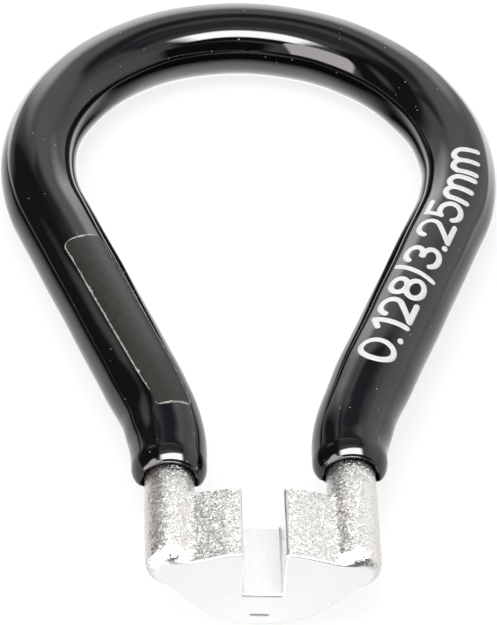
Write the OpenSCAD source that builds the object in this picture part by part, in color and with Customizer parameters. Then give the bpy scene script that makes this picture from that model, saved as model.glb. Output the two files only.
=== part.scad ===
// Loop-handled spoke wrench: one casting with a nipple slot in its head and a loop behind it,
// a dipped vinyl handle over the loop, and a bare film label on the left leg.
// The origin is the middle of the slot's mouth in the ground end face.
// Y runs from the head to the loop, and Z comes out of the slot's open side.

/* [Nipple slot] */
// Width of the slot, across the nipple's flats
slot_width = 3.25; // [2.8:0.05:4.2]
// Depth of the slot, from the jaw tops to its floor
slot_depth = 4.45; // [3.9:0.05:5.2]
// Chamfer along the slot's upper edges
slot_chamfer = 0.3; // [0.1:0.05:0.5]
// Radius in the corners of the slot's floor
slot_fillet = 0.25; // [0.1:0.05:0.6]

/* [Head] */
// Length of the head, along the nipple
head_length = 7.3; // [6:0.1:10]
// Metal under the middle of the slot's floor
belly_wall = 3.3; // [2.6:0.1:4]
// Radius of the belly, across the head
belly_radius = 10.5; // [8.5:0.5:16]
// Radius where the belly turns up into a flank
belly_corner = 1; // [0.4:0.1:1.5]
// Width of the flat crest along each jaw
jaw_crest = 0.9; // [0.5:0.1:1.4]
// Fall of the web's top from the jaw crest to the leg
web_fall = 0.8; // [0.5:0.05:1.1]
// Radius of the groove between the web's top and the leg
groove_radius = 0.6; // [0.4:0.1:1.2]
// Slope of each flank, from the belly up to the leg
flank_angle = 51; // [46:1:54]
// Depth of the flank's end below the leg's axis
flank_drop = 1.3; // [1.2:0.1:1.7]
// Radius between a flank and the underside of the leg
flank_radius = 1.8; // [1.6:0.1:2.4]
// Radius of the web's back corners, seen from above
back_radius = 1.8; // [1.2:0.1:4]

/* [Loop] */
// Diameter of the legs and of the loop's core
leg_diameter = 3.9; // [3.4:0.1:4.4]
// Distance between the axes of the two legs
leg_spacing = 14.2; // [13:0.1:16]
// Rounding of the legs' front tips
tip_radius = 0.8; // [0.3:0.1:1]
// Length of leg left bare between the head and the handle
bare_leg = 2.7; // [1.5:0.1:5]
// Straight length between the handle's nose and the outward bend
handle_straight = 0.1; // [0.1:0.1:4]
// Radius of the outward bend of each leg
bend_radius = 12.8; // [9:0.2:18]
// Angle of each leg away from the tool's axis
leg_angle = 21; // [17:0.5:25]
// Radius of the loop's big arc, on its centre line
loop_radius = 18; // [16:0.5:22]

/* [Handle] */
// Thickness of the vinyl
handle_wall = 1.3; // [0.8:0.1:1.8]
// Slant of the line to which the tool was dipped
dip_slant = 3.5; // [0:0.5:6]
// Radius of the nose that narrows the vinyl to its rim
nose_radius = 4.2; // [2:0.1:5]
// Thickness of the vinyl at its rim
rim_wall = 0.12; // [0.08:0.02:0.3]
// Gap between the rim and the leg
mouth_gap = 0.33; // [0.1:0.01:0.45]
// Depth at which the vinyl closes on the leg
mouth_depth = 0.9; // [0.4:0.1:1.6]

/* [Label] */
// Length of the label, along the leg
label_length = 20.4; // [12:0.2:22]
// Width of the label, straight across
label_width = 3.5; // [2:0.1:4.2]
// Thickness of the film
label_film = 0.12; // [0.08:0.01:0.3]
// Radius of the label's corners
label_corner = 0.7; // [0.2:0.1:0.9]
// Distance from the end of the bend to the label's middle
label_place = 7.9; // [4:0.1:9]
// Turn of the label round the leg, towards the inside of the loop
label_turn = 12; // [0:1:20]

/* [Hidden] */
$fn = 64;

// Heights and half widths of the head's section
crest_z = slot_depth / 2;
floor_z = crest_z - slot_depth;
belly_z = floor_z - belly_wall;
half_slot = slot_width / 2;
leg_x = leg_spacing / 2;
leg_r = leg_diameter / 2;
leg_centre = [leg_x, 0];
// Length that lets a cut run clear of the faces it starts from
clear = 1;
// The bends are finer than the straights by a hair, and one reaches into the other, to join as one rod
seam_step = 0.02;
seam_lap = 0.3;

// The web's top falls from the crest's outer edge to the leg's inner side
crest_edge = [half_slot + jaw_crest, crest_z];
web_edge = [leg_x - leg_r, crest_z - web_fall];
web_angle = atan2(crest_edge.y - web_edge.y, web_edge.x - crest_edge.x);
web_normal = [sin(web_angle), cos(web_angle)];
web_end = web_edge + leg_r * [1, -tan(web_angle)];

// Each flank climbs from the belly into a leg
flank_normal = [sin(flank_angle), -cos(flank_angle)];
flank_end = [leg_x, -flank_drop];
belly_centre = [0, belly_z + belly_radius];
corner_centre = tangent_centre(belly_centre, belly_radius - belly_corner,
                               flank_normal, flank_end, -belly_corner, -1);
corner_on_flank = corner_centre + belly_corner * flank_normal;
corner_on_belly = belly_centre + (corner_centre - belly_centre) * belly_radius / (belly_radius - belly_corner);

// The handle's nose falls from its outside to the rim along an arc
handle_r = leg_r + handle_wall;
nose_fall = handle_wall - mouth_gap - rim_wall;
nose_length = sqrt(2 * nose_radius * nose_fall - nose_fall * nose_fall);

// Stations along the tool, from the end face at y = 0
mouth_y = head_length + bare_leg;
dip_shift = leg_x * tan(dip_slant);
bend_y = mouth_y + dip_shift + nose_length + handle_straight;
bend_end = [leg_x + bend_radius * (1 - cos(leg_angle)), bend_y + bend_radius * sin(leg_angle)];
loop_y = bend_end.y + (loop_radius - bend_end.x * cos(leg_angle)) / sin(leg_angle);
straight_length = (loop_y - loop_radius * sin(leg_angle) - bend_end.y) / cos(leg_angle);

// Centre of a circle that lies off a line by a distance and at a reach from a point.
// The line passes through a given place, and the side picks which way along it to go.
function tangent_centre(point, reach, normal, place, off, side) =
    let (height = normal * place + off - normal * point)
    point + height * normal + side * sqrt(reach * reach - height * height) * [-normal.y, normal.x];

// Fills the hollow corner between a straight edge and a leg with a concave round
module groove(normal, place, radius, side) {
    centre = tangent_centre(leg_centre, leg_r + radius, normal, place, radius, side);
    on_leg = leg_centre + (centre - leg_centre) * leg_r / (leg_r + radius);
    difference() {
        polygon([leg_centre, centre - radius * normal, centre, on_leg]);
        translate(centre) circle(radius);
    }
}

// Draws its children on both sides of the tool's axis
module both_sides() {
    children();
    mirror([1, 0, 0]) children();
}

// Turns what was drawn upright so that it lies along Y, standing on y = 0
module lay_along_y() {
    rotate([-90, 0, 0]) children();
}

// Rectangle with round corners, centred
module round_rectangle(width, length, corner) {
    square([width, length - 2 * corner], center = true);
    square([width - 2 * corner, length], center = true);
    for (x = [-1, 1], y = [-1, 1])
        translate([x * (width / 2 - corner), y * (length / 2 - corner)]) circle(corner);
}

// The slot's own section, open at the top, with round floor corners and chamfered edges
module slot_section() {
    translate([-half_slot, floor_z + slot_fillet]) square([slot_width, slot_depth + clear]);
    translate([-half_slot + slot_fillet, floor_z]) square([slot_width - 2 * slot_fillet, slot_depth]);
    both_sides() translate([half_slot - slot_fillet, floor_z + slot_fillet]) circle(slot_fillet);
    both_sides() polygon([[0, crest_z - slot_chamfer - half_slot],
                          [half_slot + slot_chamfer + clear, crest_z + clear],
                          [0, crest_z + clear]]);
}

// One side of the head's section: jaw, web, flank and belly, from across the slot to a leg's axis
module side_section() {
    polygon([[-half_slot, crest_z], crest_edge, web_end, flank_end, corner_on_flank, corner_on_belly,
             [-half_slot, corner_on_belly.y]]);
    translate(corner_centre) circle(belly_corner);
    intersection() {
        translate([-half_slot, belly_z]) square([half_slot + corner_on_belly.x, floor_z - belly_z]);
        translate(belly_centre) circle(belly_radius, $fn = 180);
    }
    groove(web_normal, web_edge, groove_radius, 1);
    groove(flank_normal, flank_end, flank_radius, -1);
}

// The web seen from above, with its back corners rounded into the legs
module web_plan() {
    square_end = leg_x - back_radius;
    translate([-leg_x, 0]) square([leg_spacing, head_length - back_radius]);
    translate([-square_end, 0]) square([2 * square_end, head_length]);
    both_sides() translate([square_end, head_length - back_radius]) circle(back_radius);
}

// The head between the legs, cut square at the end face
module head() {
    intersection() {
        translate([0, head_length, 0]) rotate([90, 0, 0]) linear_extrude(head_length) difference() {
            both_sides() side_section();
            slot_section();
        }
        translate([0, 0, belly_z - clear])
            linear_extrude(slot_depth + belly_wall + 2 * clear) web_plan();
    }
}

// A leg's bare front, with its tip rounded where it meets the end face
module leg_front() {
    translate([leg_x, 0, 0]) lay_along_y() rotate_extrude() {
        square([leg_r - tip_radius, head_length]);
        translate([0, tip_radius]) square([leg_r, bend_y + seam_lap - tip_radius]);
        intersection() {
            translate([leg_r - tip_radius, tip_radius]) circle(tip_radius);
            square([leg_r, head_length]);
        }
    }
}

// A bent length of rod that reaches into the straight length at its first end, or at both of its ends
module bent_rod(bend, start, sweep, radius, laps) {
    lap_angle = seam_lap / bend * 180 / PI;
    rotate([0, 0, start - lap_angle]) rotate_extrude(angle = sweep + laps * lap_angle, $fn = 180)
        translate([bend, 0]) circle(radius - seam_step);
}

// One side of the rod, from the start of its bend to the big arc
module leg_run(radius) {
    translate([leg_x + bend_radius, bend_y, 0]) bent_rod(bend_radius, 180 - leg_angle, leg_angle, radius, 1);
    translate(bend_end) rotate([0, 0, -leg_angle]) lay_along_y() cylinder(straight_length, radius, radius);
}

// The whole rod behind the straight fronts
module loop_rod(radius) {
    both_sides() leg_run(radius);
    translate([0, loop_y, 0]) bent_rod(loop_radius, -leg_angle, 180 + 2 * leg_angle, radius, 2);
}

// The vinyl's straight end, which narrows along an arc to its rim
module handle_mouth(mouth) {
    straight = bend_y + seam_lap - mouth;
    translate([leg_x, mouth, 0]) lay_along_y() rotate_extrude() {
        translate([0, nose_length]) square([handle_r, straight - nose_length]);
        intersection() {
            translate([handle_r - nose_radius, nose_length]) circle(nose_radius);
            square([handle_r, nose_length]);
        }
    }
}

// Room round the leg inside the rim, closing towards the loop
module mouth_flare(mouth) {
    translate([leg_x, mouth, 0]) lay_along_y() {
        cylinder(mouth_depth, leg_r + mouth_gap, leg_r);
        cylinder(bend_y + seam_lap - mouth, leg_r, leg_r);
    }
}

module wrench_body() {
    color("silver") {
        head();
        both_sides() leg_front();
        loop_rod(leg_r);
    }
}

module handle_sleeve() {
    color([0.06, 0.06, 0.07]) difference() {
        union() {
            handle_mouth(mouth_y + dip_shift);
            mirror([1, 0, 0]) handle_mouth(mouth_y - dip_shift);
            loop_rod(handle_r);
        }
        mouth_flare(mouth_y + dip_shift);
        mirror([1, 0, 0]) mouth_flare(mouth_y - dip_shift);
        loop_rod(leg_r);
    }
}

module blank_label() {
    color([0.26, 0.27, 0.24]) mirror([1, 0, 0]) intersection() {
        difference() {
            leg_run(handle_r + label_film);
            leg_run(handle_r);
        }
        translate(bend_end) rotate([0, 0, -leg_angle]) translate([0, label_place, 0]) rotate([0, -label_turn, 0])
            linear_extrude(handle_r + clear) round_rectangle(label_width, label_length, label_corner);
    }
}

wrench_body();
handle_sleeve();
blank_label();
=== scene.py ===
# %% [markdown]
# # A loop-handled spoke wrench
#
# The tool is one grainy steel casting with a square-cut slot for spoke nipples, dipped in black vinyl
# over its whole loop. A bare strip of film is stuck on one leg and the slot's size is printed on the other.
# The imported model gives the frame: every piece below is worked out in millimetres in that frame,
# and turned to metres when its mesh is made.

import bmesh
import bpy
import numpy as np
from mathutils import Matrix, Vector


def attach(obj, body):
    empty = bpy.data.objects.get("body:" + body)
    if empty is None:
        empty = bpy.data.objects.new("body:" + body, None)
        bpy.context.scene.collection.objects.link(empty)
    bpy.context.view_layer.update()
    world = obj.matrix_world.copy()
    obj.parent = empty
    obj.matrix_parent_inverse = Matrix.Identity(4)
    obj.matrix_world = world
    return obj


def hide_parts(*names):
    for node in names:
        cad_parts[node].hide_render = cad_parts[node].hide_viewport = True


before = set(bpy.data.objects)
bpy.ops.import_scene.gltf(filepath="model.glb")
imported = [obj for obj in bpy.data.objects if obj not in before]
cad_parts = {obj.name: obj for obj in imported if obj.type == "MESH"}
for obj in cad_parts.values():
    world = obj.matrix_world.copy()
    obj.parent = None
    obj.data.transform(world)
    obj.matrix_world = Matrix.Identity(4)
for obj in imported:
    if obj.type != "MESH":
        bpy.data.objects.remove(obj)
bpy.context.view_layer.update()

MM = 0.001
print("nodes of the frame:", sorted(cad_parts))

# %% [markdown]
# ## Camera
#
# A long lens from low in front, tipped a little, as somebody holds a camera over a table. Its place was
# found by fitting the loop's outline to the picture: with a lens this long, only the distance and the
# angles matter, so they are the values here. The picture's height sets how pixels turn into a focal length.

# %% Place the camera
IMAGE_HEIGHT = 625
SENSOR_HEIGHT = 36.0
FOCAL_PIXELS = 3500.0
NEAR_LIMIT = 10.0
camera_aim = np.array([-0.46, 29.22, 0.0])
camera_distance = 286.9
camera_fall = np.radians(42.95)
camera_turn = np.radians(3.94)
camera_roll = np.radians(3.75)

look = np.array([np.sin(camera_turn) * np.cos(camera_fall),
                 np.cos(camera_turn) * np.cos(camera_fall),
                 -np.sin(camera_fall)])
level_right = np.array([np.cos(camera_turn), -np.sin(camera_turn), 0.0])
level_up = np.cross(level_right, look)
right = np.cos(camera_roll) * level_right + np.sin(camera_roll) * level_up
up = np.cos(camera_roll) * level_up - np.sin(camera_roll) * level_right
eye = camera_aim - camera_distance * look

camera = bpy.data.objects.new("camera", bpy.data.cameras.new("camera"))
camera.data.sensor_fit = "VERTICAL"
camera.data.sensor_height = SENSOR_HEIGHT
camera.data.lens = FOCAL_PIXELS * SENSOR_HEIGHT / IMAGE_HEIGHT
camera.data.clip_start = NEAR_LIMIT * MM
turned = Matrix(np.column_stack([right, up, -look]).tolist()).to_4x4()
camera.matrix_world = Matrix.Translation((eye * MM).tolist()) @ turned
bpy.context.scene.collection.objects.link(camera)
bpy.context.scene.camera = camera
print("camera lens in mm:", round(camera.data.lens, 1))

# %% [markdown]
# ## From arrays to pieces
#
# Each piece starts as an array of points and an array of four-cornered faces. One helper joins up the
# rows of a grid, and another puts the arrays into a mesh in one go, turns the faces outwards and closes
# any open end. A closed surface has a positive volume when its faces look out, which is what is tested.

# %% Helpers that make a mesh
def grid_faces(rows, columns, closed_rows=False, closed_columns=False):
    """Faces of a grid of rows x columns points: each point joins the next in its row and in its column,
    and a closed direction joins its last points to its first ones."""
    index = np.arange(rows * columns).reshape(rows, columns)
    if closed_rows:
        index = np.vstack([index, index[:1]])
    if closed_columns:
        index = np.hstack([index, index[:, :1]])
    corners = [index[:-1, :-1], index[:-1, 1:], index[1:, 1:], index[1:, :-1]]
    return np.stack(corners, axis=-1).reshape(-1, 4)


def faces_outward(points, faces):
    """Faces turned to look out: the signed volume, a sixth of the sum of a.(b x c) over the triangles,
    is then above zero."""
    a, b, c, d = (points[faces[:, corner]] for corner in range(4))
    volume = np.einsum("ij,ij->", a, np.cross(b, c)) + np.einsum("ij,ij->", a, np.cross(c, d))
    return faces if volume > 0 else faces[:, ::-1]


def make_piece(name, shells, material):
    """Puts shells, each of points in mm and four-cornered faces, into one object that rides on the tool."""
    sizes = [len(points) for points, _ in shells]
    firsts = np.cumsum([0] + sizes[:-1])
    points = np.vstack([points for points, _ in shells])
    faces = np.vstack([faces_outward(*shell) + first for shell, first in zip(shells, firsts)])
    mesh = bpy.data.meshes.new(name)
    mesh.vertices.add(len(points))
    mesh.vertices.foreach_set("co", (points * MM).astype(np.float32).ravel())
    mesh.loops.add(faces.size)
    mesh.loops.foreach_set("vertex_index", faces.astype(np.int32).ravel())
    mesh.polygons.add(len(faces))
    mesh.polygons.foreach_set("loop_start", np.arange(0, faces.size, 4, dtype=np.int32))
    mesh.update(calc_edges=True)
    skin = bmesh.new()
    skin.from_mesh(mesh)
    bmesh.ops.holes_fill(skin, edges=skin.edges)
    skin.to_mesh(mesh)
    skin.free()
    mesh.shade_smooth()
    mesh.materials.append(material)
    piece = bpy.data.objects.new(name, mesh)
    bpy.context.scene.collection.objects.link(piece)
    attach(piece, "root")
    print(name, "has", len(mesh.polygons), "faces")
    return piece


def paint_points(piece, name, values):
    """Keeps one number per point on the mesh, for the piece's material to read."""
    layer = piece.data.attributes.new(name, "FLOAT", "POINT")
    layer.data.foreach_set("value", values.astype(np.float32))


def fade(value, low, high):
    """0 below low, 1 above high and an S between."""
    t = np.clip((value - low) / (high - low), 0, 1)
    return t * t * (3 - 2 * t)

# %% [markdown]
# ## The bent rod
#
# The loop is one rod bent on a jig: a straight mouth, a bend outwards, a straight leg, the big arc, and
# the same again on the other side. Its heading turns evenly in each bend, so the heading is a broken line
# over the rod's length, and adding up small steps along the heading gives the path. Every piece on the
# loop then only needs its own length along the rod and its angle round it. The path runs from the rim of
# the vinyl on the left leg to the rim on the right leg, which the slanted dip line puts further back.

# %% Path of the rod
leg_x = 7.1
leg_radius = 1.95
left_rim_y = 9.566
right_rim_y = 10.434
bend_y = 13.069
bend_radius = 12.8
leg_angle = np.radians(21)
loop_radius = 18.0

bend_end_x = leg_x + bend_radius * (1 - np.cos(leg_angle))
leg_straight = (loop_radius * np.cos(leg_angle) - bend_end_x) / np.sin(leg_angle)
stretches = [bend_y - left_rim_y, bend_radius * leg_angle, leg_straight,
             loop_radius * (np.pi + 2 * leg_angle),
             leg_straight, bend_radius * leg_angle, bend_y - right_rim_y]
stations = np.concatenate([[0.0], np.cumsum(stretches)])
headings = np.array([0, 0, -leg_angle, -leg_angle, np.pi + leg_angle, np.pi + leg_angle, np.pi, np.pi])
rod_length = stations[-1]

PATH_STEPS = 8000
path_s = np.linspace(0, rod_length, PATH_STEPS + 1)
path_step = rod_length / PATH_STEPS
path_heading = np.interp(path_s, stations, headings)


def added_up(values):
    """Running sum of the mean of neighbours times the step, from 0."""
    return np.concatenate([[0.0], np.cumsum((values[1:] + values[:-1]) / 2 * path_step)])


path_x = -leg_x + added_up(np.sin(path_heading))
path_y = left_rim_y + added_up(np.cos(path_heading))


def on_rod(s, angle, radius):
    """Points round the rod: the path's place at length s, plus radius times the direction at the angle,
    which is 0 towards the inside of the loop and a quarter turn at the top."""
    heading = np.interp(s, stations, headings)
    inward = np.stack([np.cos(heading), -np.sin(heading), np.zeros_like(heading)], axis=-1)
    centre = np.stack([np.interp(s, path_s, path_x), np.interp(s, path_s, path_y),
                       np.zeros_like(heading)], axis=-1)
    upward = np.array([0.0, 0.0, 1.0])
    across = (radius * np.cos(angle))[..., None]
    above = (radius * np.sin(angle))[..., None]
    return centre + across * inward + above * upward


print("rod length in mm:", round(rod_length, 1), "loop top at y =", round(path_y.max(), 2))

# %% [markdown]
# ## A small kit for shaders
#
# Materials are made of nodes. One helper adds a node with its settings, its fixed numbers and its links,
# so that a material reads from top to bottom like a recipe. All patterns use Object coordinates, in metres.
# Soft noise mostly stays between two marks, so a ramp between these uses all of it.

# %% Helpers for materials
NOISE_MARKS = (0.3, 0.7)


def add_node(tree, kind, settings=None, values=None, links=None):
    """One shader node with its settings, socket values and incoming links."""
    made = tree.nodes.new("ShaderNode" + kind)
    for name, value in (settings or {}).items():
        setattr(made, name, value)
    for socket, value in (values or {}).items():
        made.inputs[socket].default_value = value
    for socket, source in (links or {}).items():
        tree.links.new(source, made.inputs[socket])
    return made


def new_finish(name):
    """An empty material with its Principled shader and its place, ready for links."""
    material = bpy.data.materials.new(name)
    material.use_nodes = True
    tree = material.node_tree
    return material, tree, tree.nodes["Principled BSDF"], add_node(tree, "TexCoord").outputs["Object"]


def noise(tree, place, size_mm, detail=2.0):
    """Soft noise whose blobs are about size_mm wide, from 0 to 1."""
    made = add_node(tree, "TexNoise", values={"Scale": 1 / (size_mm * MM), "Detail": detail},
                    links={"Vector": place})
    return made.outputs["Fac"]


def cells(tree, place, size_mm):
    """Voronoi cells about size_mm wide."""
    return add_node(tree, "TexVoronoi", values={"Scale": 1 / (size_mm * MM)}, links={"Vector": place})


def point_value(tree, name):
    """A number kept on the points of the mesh."""
    return add_node(tree, "Attribute", {"attribute_name": name}).outputs["Fac"]


def ramp(tree, value, low, high, out_low=0.0, out_high=1.0):
    """Straight ramp of a value between two marks, held flat outside them."""
    marks = {"From Min": low, "From Max": high, "To Min": out_low, "To Max": out_high}
    return add_node(tree, "MapRange", values=marks, links={"Value": value}).outputs["Result"]


def combine(tree, operation, first, second):
    """Arithmetic on two sockets, or on a socket and a number."""
    made = add_node(tree, "Math", {"operation": operation}, links={0: first})
    if isinstance(second, (int, float)):
        made.inputs[1].default_value = second
    else:
        tree.links.new(second, made.inputs[1])
    return made.outputs["Value"]


def blend_colours(tree, factor, first, second):
    """Mixes two colours by a factor; the first may be a socket."""
    made = add_node(tree, "Mix", {"data_type": "RGBA"}, {"B": (*second, 1.0)}, {"Factor": factor})
    if isinstance(first, tuple):
        made.inputs["A"].default_value = (*first, 1.0)
    else:
        tree.links.new(first, made.inputs["A"])
    return made.outputs["Result"]


def bump(tree, shader, height, depth_mm, strength):
    """Lets a height pattern tilt the shader's surface; the strength is a number or a socket."""
    made = add_node(tree, "Bump", values={"Distance": depth_mm * MM}, links={"Height": height})
    if isinstance(strength, float):
        made.inputs["Strength"].default_value = strength
    else:
        tree.links.new(strength, made.inputs["Strength"])
    tree.links.new(made.outputs["Normal"], shader.inputs["Normal"])
    return made

# %% [markdown]
# ## Black vinyl finish
#
# Dipped vinyl is almost black and very glossy, so it is seen by what it reflects. The skin sets with a
# faint unevenness, which a broad soft bump gives, and a used tool carries specks of dust: most cells of a
# Voronoi pattern get a tiny pale dot where the surface passes close to their middle.

# %% Vinyl material
VINYL_BLACK = (0.0045, 0.0045, 0.005)
DUST_GREY = (0.42, 0.42, 0.42)
DUST_CELL = 0.95
DUST_FREE = 0.3
DUST_RADIUS = 0.07
DUST_CORE = 0.6
DUST_ROUGHNESS = 0.6
GLOSS_CLOUD = 3.0
GLOSS_ROUGHNESS = (0.035, 0.07)
WAVE_SIZE = 2.2
WAVE_DEPTH = 0.012
WAVE_STRENGTH = 0.25
HAZE = 0.5
HAZE_ROUGHNESS = 0.15


def vinyl_finish():
    """Glossy black with a soft unevenness in its gloss, and sparse specks of dust."""
    material, tree, shader, place = new_finish("dipped_vinyl")
    dust = cells(tree, place, DUST_CELL)
    near = ramp(tree, dust.outputs["Distance"], DUST_RADIUS, DUST_CORE * DUST_RADIUS)
    shade = add_node(tree, "SeparateColor", links={"Color": dust.outputs["Color"]})
    picked = combine(tree, "GREATER_THAN", shade.outputs["Red"], DUST_FREE)
    speck = combine(tree, "MULTIPLY", near, picked)
    tree.links.new(blend_colours(tree, speck, VINYL_BLACK, DUST_GREY), shader.inputs["Base Color"])
    gloss = ramp(tree, noise(tree, place, GLOSS_CLOUD), *NOISE_MARKS, *GLOSS_ROUGHNESS)
    dull = combine(tree, "MULTIPLY", speck, DUST_ROUGHNESS)
    tree.links.new(combine(tree, "MAXIMUM", gloss, dull), shader.inputs["Roughness"])
    bump(tree, shader, noise(tree, place, WAVE_SIZE, detail=1.0), WAVE_DEPTH, WAVE_STRENGTH)
    shader.inputs["Sheen Weight"].default_value = HAZE
    shader.inputs["Sheen Roughness"].default_value = HAZE_ROUGHNESS
    return material


vinyl = vinyl_finish()
print("made", vinyl.name)

# %% [markdown]
# ## Vinyl handle
#
# The handle is a skin carried along the rod: a ring at each length, whose radius follows a profile. The
# profile starts in the bore, flares to a thin round rim, climbs along the arc of the nose, runs along the
# outside to the other rim and goes back through the bore, so the skin closes on itself. Vinyl runs off
# while it sets, so the outside gets a little thinner towards both rims.

# %% Profile of the skin
vinyl_wall = 1.3
handle_radius = leg_radius + vinyl_wall
mouth_gap = 0.33
mouth_depth = 0.9
rim_wall = 0.12
nose_radius = 2.8
thin_end = 0.27
thin_from = 5.5
thin_to = 12.0
bore_gap = 0.02
bore_radius = leg_radius + bore_gap
RIM_POINTS = 9
NOSE_POINTS = 14

nose_fall = vinyl_wall - thin_end - mouth_gap - rim_wall
nose_turn = np.arccos(1 - nose_fall / nose_radius)
nose_length = nose_radius * np.sin(nose_turn)


def skin_radius(s):
    """Outside of the vinyl: the handle's radius, less near the rims, where a dipped skin is thinner."""
    to_rim = np.minimum(s, rod_length - s)
    return handle_radius - thin_end * (1 - fade(to_rim, thin_from, thin_to))


def mouth_profile():
    """One mouth as (length into the handle, radius), from the bore outwards: the flare, a half circle
    round the rim, and the nose, an arc that ends level with the outside."""
    round_rim = np.linspace(-np.pi / 2, np.pi / 2, RIM_POINTS)
    rim = np.stack([rim_wall / 2 * (1 - np.cos(round_rim)),
                    leg_radius + mouth_gap + rim_wall / 2 * (1 + np.sin(round_rim))], axis=-1)
    turn = np.linspace(nose_turn, 0, NOSE_POINTS + 1)[1:]
    nose = np.stack([nose_length - nose_radius * np.sin(turn),
                     handle_radius - thin_end - nose_radius * (1 - np.cos(turn))], axis=-1)
    return np.vstack([[[mouth_depth, bore_radius]], rim, nose])


print("nose of the vinyl:", round(nose_length, 2), "mm long,", round(nose_fall, 2), "mm deep")

# %% [markdown]
# Dipping leaves three more traces. A slow ripple runs along the skin, vinyl gathers on the outer side of
# each bend, where the leg is hollow, and under each leg the rim is drawn back where the vinyl ran.

# %% Handle surface
RING_STEP = 0.25
RING_POINTS = 96
BORE_RINGS = 160
RIPPLE = 0.012
QUICK_WAVE = 0.83
SLOW_WAVE = 0.37
WAVE_TWIST = 1.7
WAVE_SHIFT = 0.6
DRAWN_BACK = 1.0
DRAWN_FULL = 0.7
BEND_FILL = 0.3
FILL_PLACE = 5.8
FILL_REACH = 2.4


def handle_skin():
    """Rings along the rod: one mouth, the outside, the other mouth and the bore, as one closed row. The
    outside's radius also gets two sines for the ripple and a bell curve for the fill at each bend."""
    mouth = mouth_profile()
    along = np.arange(nose_length + RING_STEP, rod_length - nose_length, RING_STEP)
    back = np.linspace(rod_length - 2 * mouth_depth, 2 * mouth_depth, BORE_RINGS)
    s = np.concatenate([mouth[:, 0], along, rod_length - mouth[::-1, 0], back])
    radius = np.concatenate([mouth[:, 1], skin_radius(along), mouth[::-1, 1],
                             np.full(len(back), bore_radius)])
    outside = fade(s, nose_length, 2 * nose_length) * fade(rod_length - s, nose_length, 2 * nose_length)
    outside = outside * (radius > leg_radius + mouth_gap)
    angle = np.linspace(0, 2 * np.pi, RING_POINTS, endpoint=False)
    s, angle = np.meshgrid(s, angle, indexing="ij")
    drawn_back = DRAWN_BACK * fade(-np.sin(angle), 0, DRAWN_FULL)
    from_left = 1 - fade(s, nose_length, 3 * nose_length)
    from_right = 1 - fade(rod_length - s, nose_length, 3 * nose_length)
    s = s + drawn_back * (from_left - from_right)
    ripple = np.sin(QUICK_WAVE * s + WAVE_TWIST * np.sin(angle))
    ripple = ripple + np.sin(SLOW_WAVE * s - angle + WAVE_SHIFT)
    to_bend = (np.minimum(s, rod_length - s) - FILL_PLACE) / FILL_REACH
    fill = np.exp(-to_bend ** 2) * np.maximum(-np.cos(angle), 0) ** 2
    traces = (RIPPLE * ripple + BEND_FILL * fill) * outside[:, None]
    return on_rod(s, angle, radius[:, None] + traces)


skin = handle_skin()
skin_faces = grid_faces(*skin.shape[:2], closed_rows=True, closed_columns=True)
handle = make_piece("vinyl_handle", [(skin.reshape(-1, 3), skin_faces)], vinyl)
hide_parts("handle_sleeve")

# %% [markdown]
# ## Films on the handle
#
# A label and a printed stroke are the same kind of thing: a thin film that follows the round of the
# handle, with rounded ends. A ribbon does both. Its middle line is drawn on the unrolled handle, with the
# length along the rod and the distance round it, and each row of points crosses that line. The half width
# shrinks along a quarter circle at both ends, which rounds the corners.

# %% Ribbon of film
FILM_SINK = 0.03
END_ROWS = 7
THINNEST = 0.015
FILM_CROWN = 8


def film_ribbon(line, half_width, corner, film, columns, row_step):
    """Rows across a line of (length, distance round) points: half width less corner plus the quarter
    circle of the corner, as a thin closed skin. Gives its points, faces and distances from the edge."""
    steps = np.hypot(*np.diff(line, axis=0).T)
    walked = np.concatenate([[0.0], np.cumsum(steps)])
    length = walked[-1]
    quarter = np.linspace(0, np.pi / 2, END_ROWS)
    ends = corner * (1 - np.cos(quarter))
    middle = np.arange(corner + row_step, length - corner, row_step)
    row = np.concatenate([ends, middle, length - ends[::-1]])
    centre = np.stack([np.interp(row, walked, line[:, axis]) for axis in (0, 1)], axis=-1)
    direction = np.gradient(centre, row, axis=0)
    direction = direction / np.hypot(*direction.T)[:, None]
    across = np.stack([-direction[:, 1], direction[:, 0]], axis=-1)
    to_end = np.minimum(row, length - row)
    round_off = np.sqrt(np.maximum(corner ** 2 - np.maximum(corner - to_end, 0) ** 2, 0))
    half = np.maximum(half_width - corner + round_off, THINNEST)

    share = np.linspace(-1, 1, columns)
    section = np.concatenate([share, share[::-1]])
    height = np.concatenate([film * (1 - share ** FILM_CROWN), np.full(columns, -FILM_SINK)])
    flat = centre[:, None, :] + (half[:, None] * section)[..., None] * across[:, None, :]
    radius = skin_radius(flat[..., 0]) + height
    points = on_rod(flat[..., 0], flat[..., 1] / handle_radius, radius)
    edge = np.minimum(half[:, None] * (1 - np.abs(section)), to_end[:, None])
    faces = grid_faces(*edge.shape, closed_columns=True)
    return points.reshape(-1, 3), faces, edge.ravel()

# %% [markdown]
# ## Bare label
#
# The label is a bare strip of dark satin film on the left leg, turned a little towards the inside of the
# loop and stuck on slightly askew. Its cut edge shows pale, because light gets into the film there, and
# the edge has started to lift in places, so a coarse noise makes the pale line broken.

# %% Label material
LABEL_OLIVE = (0.024, 0.026, 0.021)
LABEL_PALER = (0.036, 0.039, 0.032)
LABEL_CLOUD = 0.5
LABEL_ROUGHNESS = 0.36
LABEL_SHINE = 0.2
WRINKLE_SIZE = 0.9
WRINKLE_DEPTH = 0.02
WRINKLE_STRENGTH = 0.3
EDGE_PALE = (0.55, 0.55, 0.52)
EDGE_WIDTH = 0.13
LIFTED_WIDTH = 0.26
LIFT_SIZE = 0.8
LIFT_MARKS = (0.50, 0.72)
BREAK_SIZE = 0.35
BREAK_MARKS = (0.38, 0.52)
BREAK_PALENESS = (0.45, 1.0)


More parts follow.
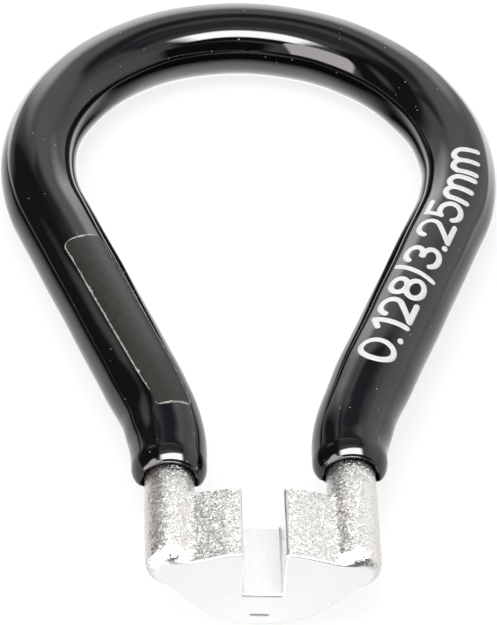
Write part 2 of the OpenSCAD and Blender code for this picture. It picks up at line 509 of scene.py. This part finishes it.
def label_finish():
    """Dark satin film with a broken pale line along its edge."""
    material, tree, shader, place = new_finish("label_film")
    edge = point_value(tree, "edge")
    lifted = ramp(tree, noise(tree, place, LIFT_SIZE, detail=3.0), *LIFT_MARKS, EDGE_WIDTH, LIFTED_WIDTH)
    pale = combine(tree, "LESS_THAN", edge, lifted)
    broken = ramp(tree, noise(tree, place, BREAK_SIZE, detail=3.0), *BREAK_MARKS, *BREAK_PALENESS)
    cloud = ramp(tree, noise(tree, place, LABEL_CLOUD, detail=4.0), *NOISE_MARKS)
    film = blend_colours(tree, cloud, LABEL_OLIVE, LABEL_PALER)
    colour = blend_colours(tree, combine(tree, "MULTIPLY", pale, broken), film, EDGE_PALE)
    tree.links.new(colour, shader.inputs["Base Color"])
    shader.inputs["Roughness"].default_value = LABEL_ROUGHNESS
    shader.inputs["Specular IOR Level"].default_value = LABEL_SHINE
    wrinkle = noise(tree, place, WRINKLE_SIZE, detail=3.0)
    bump(tree, shader, wrinkle, WRINKLE_DEPTH, WRINKLE_STRENGTH)
    return material


label_film = label_finish()
print("made", label_film.name)

# %% Label piece
label_start = 5.89
label_length = 20.4
label_half_width = 1.8
label_corner = 0.7
label_turn = np.radians(12)
LABEL_FILM = 0.09
LABEL_SKEW = 0.45
LABEL_COLUMNS = 56
LABEL_ROW = 0.15

label_round = handle_radius * (np.pi / 2 - label_turn)
label_end = label_start + label_length
label_line = np.array([[label_start, label_round], [label_end, label_round + LABEL_SKEW]])
label_points, label_faces, label_edge = film_ribbon(label_line, label_half_width, label_corner, LABEL_FILM,
                                                    LABEL_COLUMNS, LABEL_ROW)
label = make_piece("bare_label", [(label_points, label_faces)], label_film)
paint_points(label, "edge", label_edge)
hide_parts("blank_label")

# %% [markdown]
# ## Printed size
#
# The slot's size is printed along the right leg in white ink, reading from the head towards the loop. A
# pen with a round tip gives such figures, so each is a few pen strokes: straight lines and arcs on a grid
# one figure high. A stroke that turns a corner is two strokes that share their round ends.

# %% Pen strokes of the figures
ARC_STEPS = 24


def line(x0, y0, x1, y1):
    """Straight stroke."""
    return np.array([[x0, y0], [x1, y1]])


def arc(x, y, wide, high, start, end):
    """Stroke along an ellipse, from a start angle to an end angle in degrees."""
    turn = np.radians(np.linspace(start, end, ARC_STEPS + 1))
    return np.stack([x + wide * np.cos(turn), y + high * np.sin(turn)], axis=-1)


ARCH = [line(0, 0.58, 0, 0), arc(0.25, 0.47, 0.25, 0.26, 175, 0), line(0.5, 0.47, 0.5, 0)]
FIGURES = {
    "0": (0.76, [arc(0.38, 0.5, 0.38, 0.5, 90, 460)]),
    "1": (0.32, [line(0, 0.80, 0.32, 1), line(0.32, 1, 0.32, 0)]),
    "2": (0.70, [arc(0.35, 0.68, 0.34, 0.32, 165, -38), line(0.62, 0.48, 0.0, 0), line(0, 0, 0.70, 0)]),
    "3": (0.70, [arc(0.33, 0.75, 0.32, 0.25, 160, -90), arc(0.33, 0.26, 0.37, 0.26, 90, -160)]),
    "5": (0.68, [line(0.62, 1, 0.10, 1), line(0.10, 1, 0.05, 0.56),
                 arc(0.31, 0.32, 0.36, 0.32, 137, -150)]),
    "8": (0.72, [arc(0.36, 0.76, 0.31, 0.24, 90, 460), arc(0.36, 0.26, 0.36, 0.26, 90, 460)]),
    ".": (0.02, [line(0, 0, 0.02, 0)]),
    "/": (0.24, [line(0, -0.1, 0.24, 1.1)]),
    "m": (1.0, ARCH + [stroke + (0.5, 0) for stroke in ARCH[1:]]),
}
print("figures with strokes:", " ".join(FIGURES))

# %% [markdown]
# The ink lies on the vinyl as the label does, only thinner. Where it ran thin, the black shows through a
# little.

# %% Ink material
INK_WHITE = (0.88, 0.88, 0.87)
INK_THIN = (0.72, 0.72, 0.71)
INK_CLOUD = 0.25
INK_MARKS = (0.55, 0.8)
INK_ROUGHNESS = 0.45


def ink_finish():
    """White ink with a faint unevenness, a little shiny."""
    material, tree, shader, place = new_finish("white_ink")
    thin = ramp(tree, noise(tree, place, INK_CLOUD, detail=3.0), *INK_MARKS)
    tree.links.new(blend_colours(tree, thin, INK_WHITE, INK_THIN), shader.inputs["Base Color"])
    shader.inputs["Roughness"].default_value = INK_ROUGHNESS
    return material


ink = ink_finish()
print("made", ink.name)

# %% [markdown]
# The figures stand side by side on the unrolled handle. The length along the rod counts down, because the
# text starts near the right rim, where the rod ends.

# %% Print on the right leg
print_text = "0.128/3.25mm"
print_start = 10.65
print_base = np.radians(115)
figure_height = 2.84
figure_gap = 0.255
pen_radius = 0.27
INK_FILM = 0.03
INK_COLUMNS = 9
INK_ROW = 0.12


def with_caps(stroke, reach):
    """A stroke made longer at both ends, in its own direction, by the reach of the pen."""
    first = stroke[0] - stroke[1]
    last = stroke[-1] - stroke[-2]
    return np.vstack([stroke[0] + reach * first / np.hypot(*first), stroke,
                      stroke[-1] + reach * last / np.hypot(*last)])


ink_shells = []
pen_x = 0.0
for figure in print_text:
    width, strokes = FIGURES[figure]
    for stroke in strokes:
        along = rod_length - print_start - figure_height * (pen_x + stroke[:, 0])
        around = handle_radius * print_base - figure_height * stroke[:, 1]
        inked = with_caps(np.stack([along, around], axis=-1), pen_radius)
        points, faces, _ = film_ribbon(inked, pen_radius, pen_radius, INK_FILM, INK_COLUMNS, INK_ROW)
        ink_shells.append((points, faces))
    pen_x += width + figure_gap
size_print = make_piece("size_print", ink_shells, ink)
print("print is", round(figure_height * (pen_x - figure_gap) + 2 * pen_radius, 1), "mm long")

# %% [markdown]
# ## Casting
#
# The head grows out of the two legs with soft grooves, and its slot and end are cut afterwards. A shape
# that is blended and cut like this has no single pair of parameters, so it is written as a field: a number
# for every point in space, below zero inside the metal. Fields join with a soft minimum and cut with a
# soft maximum, which also leaves the rounded edges that a casting has.

# %% Field of the head
head_length = 7.3
slot_half = 1.625
crest_z = 2.225
floor_z = -2.225
slot_fillet = 0.25
belly_z = -5.525
belly_radius = 10.5
jaw_crest = 0.9
web_fall = 0.8
flank_angle = np.radians(51)
flank_drop = 1.3
back_radius = 1.8
tip_radius = 0.8
stub_end = 12.6
EDGE_ROUND = 0.28
END_ROUND = 0.14
CREST_ROUND = 0.3
BELLY_ROUND = 1.1
BACK_ROUND = 0.3
GROOVE_ROUND = 0.5


def soft_max(a, b, reach):
    """Larger of two fields, rounded where they are within reach of each other."""
    near = np.maximum(reach - np.abs(a - b), 0) / reach
    return np.maximum(a, b) + near * near * reach / 4


def soft_min(a, b, reach):
    """Smaller of two fields, rounded where they are within reach of each other."""
    return -soft_max(-a, -b, reach)


def rounded_box(x, y, corner):
    """Distance from a box whose far corner is at 0, 0, with that corner rounded."""
    outside = np.hypot(np.maximum(x + corner, 0), np.maximum(y + corner, 0))
    return outside + np.minimum(np.maximum(x, y) + corner, 0) - corner


def head_field(p):
    """Web between the legs: the crest, the falling web top, the sloped flank and the round belly in
    section, cut to the plan with its rounded back corners."""
    x, y, z = np.abs(p[..., 0]), p[..., 1], p[..., 2]
    web_slope = np.arctan2(web_fall, leg_x - leg_radius - slot_half - jaw_crest)
    web_top = (x - leg_x + leg_radius) * np.sin(web_slope) + (z - crest_z + web_fall) * np.cos(web_slope)
    flank = (x - leg_x) * np.sin(flank_angle) - (z + flank_drop) * np.cos(flank_angle)
    belly = np.hypot(x, z - belly_z - belly_radius) - belly_radius
    top = soft_max(z - crest_z, web_top, CREST_ROUND)
    under = soft_max(belly, flank, BELLY_ROUND)
    plan = rounded_box(x - leg_x, y - head_length, back_radius)
    return soft_max(soft_max(top, under, CREST_ROUND), plan, BACK_ROUND)


def slot_field(p):
    """The slot, with round floor corners."""
    return rounded_box(np.abs(p[..., 0]) - slot_half, floor_z - p[..., 2], slot_fillet)


def casting_field(p):
    """Legs and head joined softly, with the slot cut out and the end face ground flat."""
    x, y, z = np.abs(p[..., 0]), p[..., 1], p[..., 2]
    leg = soft_max(np.hypot(x - leg_x, z) - leg_radius, -y, 2 * tip_radius)
    leg = soft_max(leg, y - stub_end, EDGE_ROUND)
    body = soft_min(leg, head_field(p), GROOVE_ROUND)
    return soft_max(soft_max(body, -slot_field(p), EDGE_ROUND), -y, END_ROUND)

# %% [markdown]
# The field is sampled on a fine grid, and a net of points is laid over the places where it changes sign:
# one point in each cell that the surface crosses, and one face for each grid edge that it crosses. Two
# Newton steps then pull every point on to the exact surface.

# %% Net over a field
CELL_CORNERS = 8
SLOPE_STEP = 0.02
LEAST_SLOPE = 0.05


def net_over(field, start, pitch):
    """Surface net of a sampled field: each mixed cell's point is the mean of its edge crossings, and each
    crossed grid edge gives one face between the four cells round it."""
    inside = field < 0
    cell_count = np.array(field.shape) - 1
    hits = np.zeros(cell_count, dtype=np.int8)
    for i, j, k in np.ndindex(2, 2, 2):
        hits += inside[i:i + cell_count[0], j:j + cell_count[1], k:k + cell_count[2]]
    mixed = np.argwhere((hits > 0) & (hits < CELL_CORNERS))
    number = np.full(cell_count, -1)
    number[tuple(mixed.T)] = np.arange(len(mixed))
    total = np.zeros((len(mixed), 3))
    count = np.zeros((len(mixed), 1))
    faces = []
    for axis in range(3):
        step, side_a, side_b = np.roll(np.eye(3, dtype=int), -axis, axis=0)
        for offset in (0 * step, side_a, side_b, side_a + side_b):
            near = field[tuple((mixed + offset).T)]
            far = field[tuple((mixed + offset + step).T)]
            crossed = (near < 0) != (far < 0)
            share = np.where(crossed, near / np.where(crossed, near - far, 1), 0)
            total += crossed[:, None] * (offset + share[:, None] * step)
            count += crossed[:, None]
        before = inside.take(range(cell_count[axis]), axis)
        after = inside.take(range(1, cell_count[axis] + 1), axis)
        edge = np.argwhere(before != after)
        ring = [edge - side_a - side_b, edge - side_b, edge, edge - side_a]
        quad = np.stack([number[tuple(cell.T)] for cell in ring], axis=-1)
        looks_up = before[tuple(edge.T)]
        faces.append(np.where(looks_up[:, None], quad, quad[:, ::-1]))
    return start + pitch * (mixed + total / count), np.vstack(faces)


def pull_on(points, field_at):
    """One Newton step: moves each point along the field's slope by the field's value over the slope."""
    slope = np.stack([(field_at(points + move) - field_at(points - move)) / (2 * SLOPE_STEP)
                      for move in SLOPE_STEP * np.eye(3)], axis=-1)
    steepness = np.maximum((slope ** 2).sum(axis=1, keepdims=True), LEAST_SLOPE)
    return points - field_at(points)[:, None] * slope / steepness, slope

# %% [markdown]
# The grid only has to hold the head and the two leg stubs, because the rest of the rod is hidden in vinyl.

# %% Surface of the head
NET_PITCH = 0.09
net_start = np.array([-9.3, -0.3, -5.9])
net_end = np.array([9.3, 13.0, 2.6])
ticks = [np.arange(low, high, NET_PITCH) for low, high in zip(net_start, net_end)]
lattice = np.stack(np.meshgrid(*ticks, indexing="ij"), axis=-1)
metal, metal_faces = net_over(casting_field(lattice), net_start, NET_PITCH)
metal, _ = pull_on(metal, casting_field)
metal, metal_slope = pull_on(metal, casting_field)
print("casting net:", len(metal), "points, lowest", metal.min(0).round(2), "highest", metal.max(0).round(2))

# %% [markdown]
# The skin of the casting is grainy, because it was poured into sand and only plated afterwards. The end
# face was ground and the slot's walls are smooth, so the grain fades out there, and the slot's floor keeps
# a little of it. Random heights on two lattices, one coarse and one fine, push the points in and out along
# the surface's slope. Each lattice is given by its size, the height of its grain and its seed.

# %% Cast grain
GRAIN = [(0.9, 0.020, 11), (0.27, 0.022, 12)]
LATTICE_SIDE = 64
SLOT_EDGE = (0.05, 0.3)
WALL_FOOT = (0.1, 0.3)
GROUND_EDGE = (0.1, 0.35)
FLOOR_GRAIN = 0.3
UNDER_VINYL = (0.6, 1.2)


def lattice_noise(points, size, seed):
    """Smooth random heights from -1 to 1: random numbers on a lattice of the given size, blended between
    the eight corners round each point by an S-shaped weight."""
    scaled = points / size
    cell = np.floor(scaled).astype(int)
    part = fade(scaled - cell, 0, 1)
    heights = np.random.default_rng(seed).uniform(-1, 1, (LATTICE_SIDE,) * 3)
    total = np.zeros(len(points))
    for corner in np.ndindex(2, 2, 2):
        weight = np.prod(np.where(corner, part, 1 - part), axis=1)
        total += weight * heights[tuple(((cell + corner) % LATTICE_SIDE).T)]
    return total


in_slot = 1 - fade(slot_field(metal), *SLOT_EDGE)
slot_wall = in_slot * fade(metal[:, 2] - floor_z, *WALL_FOOT)
as_cast = fade(metal[:, 1], *GROUND_EDGE) * (1 - slot_wall) * (1 - (1 - FLOOR_GRAIN) * in_slot)
bare = 1 - fade(metal[:, 1] - left_rim_y, *UNDER_VINYL)
grain = sum(height * lattice_noise(metal, size, seed) for size, height, seed in GRAIN)
outward = metal_slope / np.linalg.norm(metal_slope, axis=1, keepdims=True)
metal = metal + (grain * as_cast * bare)[:, None] * outward
print("grain is up to", round(float(np.abs(grain * as_cast * bare).max()), 3), "mm high")

# %% [markdown]
# ## Plated casting finish
#
# Nickel plate over cast grain sparkles, because each grain's face sends the lamps somewhere else. So each
# cell of a Voronoi pattern, at the size of a grain, leans the surface its own way, and the pits between
# are duller. The ground end is smooth and pale, and the slot's floor is smooth but a little matt.

# %% Casting material
GRAIN_CELL = 0.13
CELL_MIDDLE = (0.5, 0.5, 0.5)
FACET_TILT = 0.34
FINE_GRAIN = 0.065
FINE_DEPTH = 0.02
NICKEL = (0.70, 0.685, 0.66)
GROUND = (0.815, 0.82, 0.825)
PIT = (0.46, 0.44, 0.41)
PIT_SIZE = 0.16
PIT_MARKS = (0.52, 0.70)
SHADE_AND_DASH_DARK = (0.10, 0.09, 0.08)
CAST_CLOUD = 0.2
CAST_ROUGHNESS = (0.23, 0.33)
SMOOTH_CLOUD = 1.2
SMOOTH_ROUGHNESS = (0.27, 0.33)
SLOT_ROUGHNESS = 0.39


def vector_step(tree, operation, links, values=None):
    """One step of arithmetic on directions."""
    return add_node(tree, "VectorMath", {"operation": operation}, values, links).outputs["Vector"]


def facet_normal(tree, place, grainy):
    """The surface's direction plus each grain's own random lean, which fades out with the grain."""
    colour = cells(tree, place, GRAIN_CELL).outputs["Color"]
    lean = vector_step(tree, "SUBTRACT", {0: colour}, {1: CELL_MIDDLE})
    lean = vector_step(tree, "SCALE", {0: lean, "Scale": combine(tree, "MULTIPLY", grainy, FACET_TILT)})
    straight = add_node(tree, "NewGeometry").outputs["Normal"]
    return vector_step(tree, "NORMALIZE", {0: vector_step(tree, "ADD", {0: straight, 1: lean})})


def casting_finish():
    """Bright metal whose grain, pits and roughness follow the as_cast number of each point."""
    material, tree, shader, place = new_finish("plated_casting")
    grainy = point_value(tree, "as_cast")
    pits = ramp(tree, noise(tree, place, PIT_SIZE, detail=3.0), *PIT_MARKS)
    plate = blend_colours(tree, grainy, GROUND, NICKEL)
    plate = blend_colours(tree, combine(tree, "MULTIPLY", pits, grainy), plate, PIT)
    # Painted shade along the front edge of the slot's floor, and a short dark dash, darken the plate here.
    plate = blend_colours(tree, point_value(tree, "edge_shade_and_dash"), plate, SHADE_AND_DASH_DARK)
    tree.links.new(plate, shader.inputs["Base Color"])
    shader.inputs["Metallic"].default_value = 1.0
    rough = ramp(tree, noise(tree, place, CAST_CLOUD), *NOISE_MARKS, *CAST_ROUGHNESS)
    smooth = ramp(tree, noise(tree, place, SMOOTH_CLOUD), *NOISE_MARKS, *SMOOTH_ROUGHNESS)
    skin_rough = add_node(tree, "Mix", links={"Factor": grainy, "A": smooth, "B": rough}).outputs["Result"]
    floor_rough = combine(tree, "MULTIPLY", point_value(tree, "slot_floor"), SLOT_ROUGHNESS)
    tree.links.new(combine(tree, "MAXIMUM", skin_rough, floor_rough), shader.inputs["Roughness"])
    fine = bump(tree, shader, noise(tree, place, FINE_GRAIN), FINE_DEPTH, grainy)
    tree.links.new(facet_normal(tree, place, grainy), fine.inputs["Normal"])
    return material


nickel = casting_finish()
print("made", nickel.name)

# %% [markdown]
# The rod goes on inside the vinyl, so the casting also has its core: a plain round profile carried along
# the same path, starting inside the two leg stubs.

# %% Core and whole casting
core_start = 1.6
core_gap = 0.03
core_radius = leg_radius - core_gap
CORE_RINGS = 180
CORE_POINTS = 32

core_s = np.linspace(core_start, rod_length - core_start, CORE_RINGS)
core_angle = np.linspace(0, 2 * np.pi, CORE_POINTS, endpoint=False)
core_grid = np.meshgrid(core_s, core_angle, indexing="ij")
core = on_rod(*core_grid, np.full(core_grid[0].shape, core_radius))
core_shell = (core.reshape(-1, 3), grid_faces(*core.shape[:2], closed_columns=True))
casting = make_piece("cast_body", [(metal, metal_faces), core_shell], nickel)

# %% [markdown]
# The material reads three numbers from the points: how much of the cast grain is left, whether a point is
# on the slot's floor, and how dark the ground end is painted. There are two dark lines on the ground end: a
# line just under the slot's floor, which is fainter and is painted shade of that edge, and a short dash
# lower down.

# %% Numbers on the casting's points
MARK_WIDTH = 0.10
MARK_FADE = 0.2
EDGE_SHADE_SHARE = 0.6
END_EDGE = (0.1, 0.2)
dash_middle = -0.12
dash_half_length = 0.82
dash_z = -4.45


def dark_line(middle, half_length, height):
    """A level line: a bell curve across it, times an even middle that fades out at both ends."""
    line_across = np.exp(-((metal[:, 2] - height) / MARK_WIDTH) ** 2)
    from_middle = np.abs(metal[:, 0] - middle)
    return line_across * (1 - fade(from_middle, half_length - MARK_FADE, half_length))


# Painted shade: the fainter line stands for the shade on the small rounding along the slot floor's front
# edge.
painted_edge_shade = EDGE_SHADE_SHARE * dark_line(0.0, slot_half, floor_z - MARK_WIDTH)
dash = dark_line(dash_middle, dash_half_length, dash_z)
edge_shade_and_dash = (1 - fade(metal[:, 1], *END_EDGE)) * np.maximum(painted_edge_shade, dash)
no_core = np.zeros(CORE_RINGS * CORE_POINTS)
paint_points(casting, "as_cast", np.concatenate([as_cast, no_core]))
paint_points(casting, "slot_floor", np.concatenate([in_slot - slot_wall, no_core]))
paint_points(casting, "edge_shade_and_dash", np.concatenate([edge_shade_and_dash, no_core]))
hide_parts("wrench_body")

# %% [markdown]
# ## Paper floor
#
# The tool lies on white paper, resting on the belly of its head and on the far side of the loop, so the
# paper is tilted to touch both. The paper gives most of its white as light of its own to rays from the
# camera and from shiny surfaces, and the rest by the lamps, so that the shadow stays. Shiny surfaces see
# it brighter behind the tool, where a lit backdrop shines on it.

# %% Paper floor
PAPER_REACH = 3000.0
PAPER_GLOW = 0.82
PAPER_MATT = 0.28
PAPER_BEHIND = 2.2
BEHIND_FROM = 45
BEHIND_FULL = 70
BESIDE_FULL = 45
BESIDE_END = 80
belly_touch = np.array([head_length - BACK_ROUND, belly_z])
loop_touch = np.array([path_y.max(), -handle_radius])
paper_slope = (loop_touch[1] - belly_touch[1]) / (loop_touch[0] - belly_touch[0])


def seen_or_mirrored(tree):
    """1 for rays from the camera, from shiny surfaces and through clear ones, and 0 for the others."""
    rays = add_node(tree, "LightPath").outputs
    seen = combine(tree, "MAXIMUM", rays["Is Camera Ray"], rays["Is Glossy Ray"])
    return combine(tree, "MAXIMUM", seen, rays["Is Transmission Ray"])


def paper_finish():
    """White paper: a plain matt white plus its own light for camera, glossy and clear rays."""
    material = bpy.data.materials.new("white_paper")
    material.use_nodes = True
    tree = material.node_tree
    tree.nodes.clear()
    place = add_node(tree, "SeparateXYZ", links={"Vector": add_node(tree, "TexCoord").outputs["Object"]})
    behind = ramp(tree, place.outputs["Y"], BEHIND_FROM * MM, BEHIND_FULL * MM, 0, PAPER_BEHIND)
    sideways = combine(tree, "ABSOLUTE", place.outputs["X"], 0.0)
    between = ramp(tree, sideways, BESIDE_FULL * MM, BESIDE_END * MM, 1, 0)
    behind = combine(tree, "MULTIPLY", behind, between)
    mirrored = combine(tree, "MULTIPLY", add_node(tree, "LightPath").outputs["Is Glossy Ray"], behind)
    level = combine(tree, "ADD", mirrored, combine(tree, "MULTIPLY", seen_or_mirrored(tree), PAPER_GLOW))
    glow = add_node(tree, "Emission", links={"Strength": level})
    matt = add_node(tree, "BsdfDiffuse", values={"Color": (PAPER_MATT, PAPER_MATT, PAPER_MATT, 1)})
    both = add_node(tree, "AddShader", links={0: glow.outputs["Emission"], 1: matt.outputs["BSDF"]})
    add_node(tree, "OutputMaterial", links={"Surface": both.outputs["Shader"]})
    return material


def flat_piece(name, corners, material):
    """A single four-cornered sheet of the stage, from corners in mm."""
    mesh = bpy.data.meshes.new(name)
    mesh.from_pydata((corners * MM).tolist(), [], [(0, 1, 2, 3)])
    mesh.materials.append(material)
    sheet = bpy.data.objects.new(name, mesh)
    bpy.context.scene.collection.objects.link(sheet)
    return sheet


paper_x = PAPER_REACH * np.array([-1, 1, 1, -1])
paper_y = PAPER_REACH * np.array([-1, -1, 1, 1])
paper_z = belly_touch[1] + (paper_y - belly_touch[0]) * paper_slope
flat_piece("paper_floor", np.stack([paper_x, paper_y, paper_z], axis=-1), paper_finish())
print("paper tilts by", round(float(np.degrees(np.arctan(paper_slope))), 2), "degrees")

# %% [markdown]
# ## Cards and lamps
#
# Shiny black shows the room, so the room is built from cards that only shiny surfaces see: a bright
# softbox above the head, a lit card at the front left, white ones behind and at the right, and dark flags
# where the vinyl goes black. Each stands at a bearing, an elevation and a distance from the middle of the
# loop; bearing 0 is straight behind the tool and 90 at its right. Then come its width and height, the soft
# share of its edges, its colour and its strength. Two more flags lie just above the paper.

# %% List of cards
ROOM_MIDDLE = np.array([0.0, 30.0, 0.0])
CARDS = [
    ("softbox", 174, 67, 108, 146, 52, 0.15, (1.0, 1.0, 1.0), 24.0),
    ("side_card", -131.5, 18, 150, 130, 150, 0.06, (1.0, 0.93, 0.95), 9.0),
    ("front_flag", 156, 12, 150, 230, 150, 0.12, (0.01, 0.01, 0.012), 1.0),
    ("upper_front_flag", 170, 47, 157, 230, 50, 0.1, (0.01, 0.01, 0.012), 1.0),
    ("left_flag", -77, 27, 150, 165, 220, 0.12, (0.05, 0.045, 0.04), 1.0),
    ("near_flag", -56, 23, 81, 72, 72, 0.25, (0.08, 0.07, 0.06), 1.0),
    ("left_gap", -67, 33, 74, 17, 40, 0.35, (0.95, 0.9, 0.86), 1.0),
    ("left_strip", -30, 41, 150, 76, 22, 0.3, (0.22, 0.25, 0.32), 1.0),
    ("dark_corner", 62, 60, 150, 95, 56, 0.25, (0.18, 0.2, 0.25), 1.0),
    ("high_flag", 6, 53, 148, 200, 50, 0.3, (0.16, 0.19, 0.22), 1.0),
    ("ceiling", 0, 78, 120, 170, 60, 0.2, (0.38, 0.41, 0.45), 1.0),
    ("right_card", 82, 22, 160, 230, 125, 0.2, (1.0, 0.98, 0.97), 1.35),
    ("back_card", 10, 45, 160, 150, 95, 0.25, (1.0, 1.0, 1.0), 1.35),
    ("backdrop", -2, 15, 190, 200, 125, 0.3, (1.0, 1.0, 1.0), 4.0),
]
FLAG_HEIGHT = -3.2
FLAG_SOFT = 0.15
# The flag inside the loop is painted shade: shiny surfaces see the paper under the loop dark there. The
# other one darkens the paper at the tool's left for shiny surfaces.
FLOOR_FLAGS = [
    ("floor_flag", 0.0, 48.5, 27, 21.5, 0.01),
    ("left_floor_flag", -79.0, 45.0, 110, 46, 0.03),
]
print(len(CARDS), "cards and", len(FLOOR_FLAGS), "flags on the floor")

# %% [markdown]
# A card is a flat sheet that gives plain light. Its edges fade out, as the edges of a real softbox or of
# a flag out of focus do: the light is mixed with a clear shader by the distance to the nearest edge.

# %% Cards
def card_finish(name, soft, colour, strength):
    """Plain light that fades out over the soft share of the card along its edges."""
    material = bpy.data.materials.new(name)
    material.use_nodes = True
    tree = material.node_tree
    tree.nodes.clear()
    spot = add_node(tree, "SeparateXYZ", links={"Vector": add_node(tree, "UVMap").outputs["UV"]})
    to_edge = [combine(tree, "PINGPONG", spot.outputs[axis], 0.5) for axis in ("X", "Y")]
    solid = combine(tree, "MULTIPLY", *(ramp(tree, share, 0, soft) for share in to_edge))
    light = add_node(tree, "Emission", values={"Color": (*colour, 1.0), "Strength": strength})
    clear = add_node(tree, "BsdfTransparent")
    both = add_node(tree, "MixShader",
                    links={0: solid, 1: clear.outputs["BSDF"], 2: light.outputs["Emission"]})
    add_node(tree, "OutputMaterial", links={"Surface": both.outputs["Shader"]})
    return material


def card(name, middle, outward, width, height, soft, colour, strength):
    """A flat sheet of plain light that only shiny surfaces see, with its back to the outward direction."""
    turn = Vector(-outward).to_track_quat("Z", "Y").to_matrix()
    unit = np.array([(0, 0), (1, 0), (1, 1), (0, 1)])
    across = (unit - 0.5) * (width, height)
    corners = np.array([Vector(middle) + turn @ Vector((x, y, 0)) for x, y in across])
    sheet = flat_piece(name, corners, card_finish(name, soft, colour, strength))
    sheet.data.uv_layers.new().data.foreach_set("uv", unit.ravel().astype(np.float32))
    sheet.visible_camera = False
    sheet.visible_diffuse = False
    sheet.visible_shadow = False


for name, bearing, elevation, distance, *look_of_card in CARDS:
    bearing, elevation = np.radians([bearing, elevation])
    outward = np.array([np.sin(bearing) * np.cos(elevation), np.cos(bearing) * np.cos(elevation),
                        np.sin(elevation)])
    card(name, ROOM_MIDDLE + distance * outward, outward, *look_of_card)
for name, x, y, width, height, grey in FLOOR_FLAGS:
    middle = np.array([x, y, FLAG_HEIGHT])
    card(name, middle, np.array([0.0, 0.0, -1.0]), width, height, FLAG_SOFT, (grey, grey, grey), 1.0)

# %% [markdown]
# One lamp, which shiny surfaces do not see, lights the label, the print and the paper.

# %% Lamp
LAMP_PLACE = (-40, -20, 250)
LAMP_SIZE = 160
LAMP_POWER = 0.33
lamp = bpy.data.objects.new("lamp", bpy.data.lights.new("lamp", "AREA"))
lamp.data.size = LAMP_SIZE * MM
lamp.data.energy = LAMP_POWER
lamp.location = [MM * value for value in LAMP_PLACE]
lamp.rotation_euler = (-Vector(LAMP_PLACE)).to_track_quat("-Z", "Y").to_euler()
lamp.visible_glossy = False
bpy.context.scene.collection.objects.link(lamp)
print("lamp of", LAMP_POWER, "W")

# %% [markdown]
# The world is white to the camera and to shiny surfaces, and lights everything else at half of that.

# %% World
WORLD_SEEN = 1.0
WORLD_LIGHT = 0.5
world = bpy.data.worlds.new("studio")
world.use_nodes = True
bpy.context.scene.world = world
world_tree = world.node_tree
world_tree.nodes.clear()
world_level = ramp(world_tree, seen_or_mirrored(world_tree), 0, 1, WORLD_LIGHT, WORLD_SEEN)
world_light = add_node(world_tree, "Background", values={"Color": (1, 1, 1, 1)},
                       links={"Strength": world_level})
add_node(world_tree, "OutputWorld", links={"Surface": world_light.outputs["Background"]})
bpy.context.scene.view_settings.view_transform = "Standard"
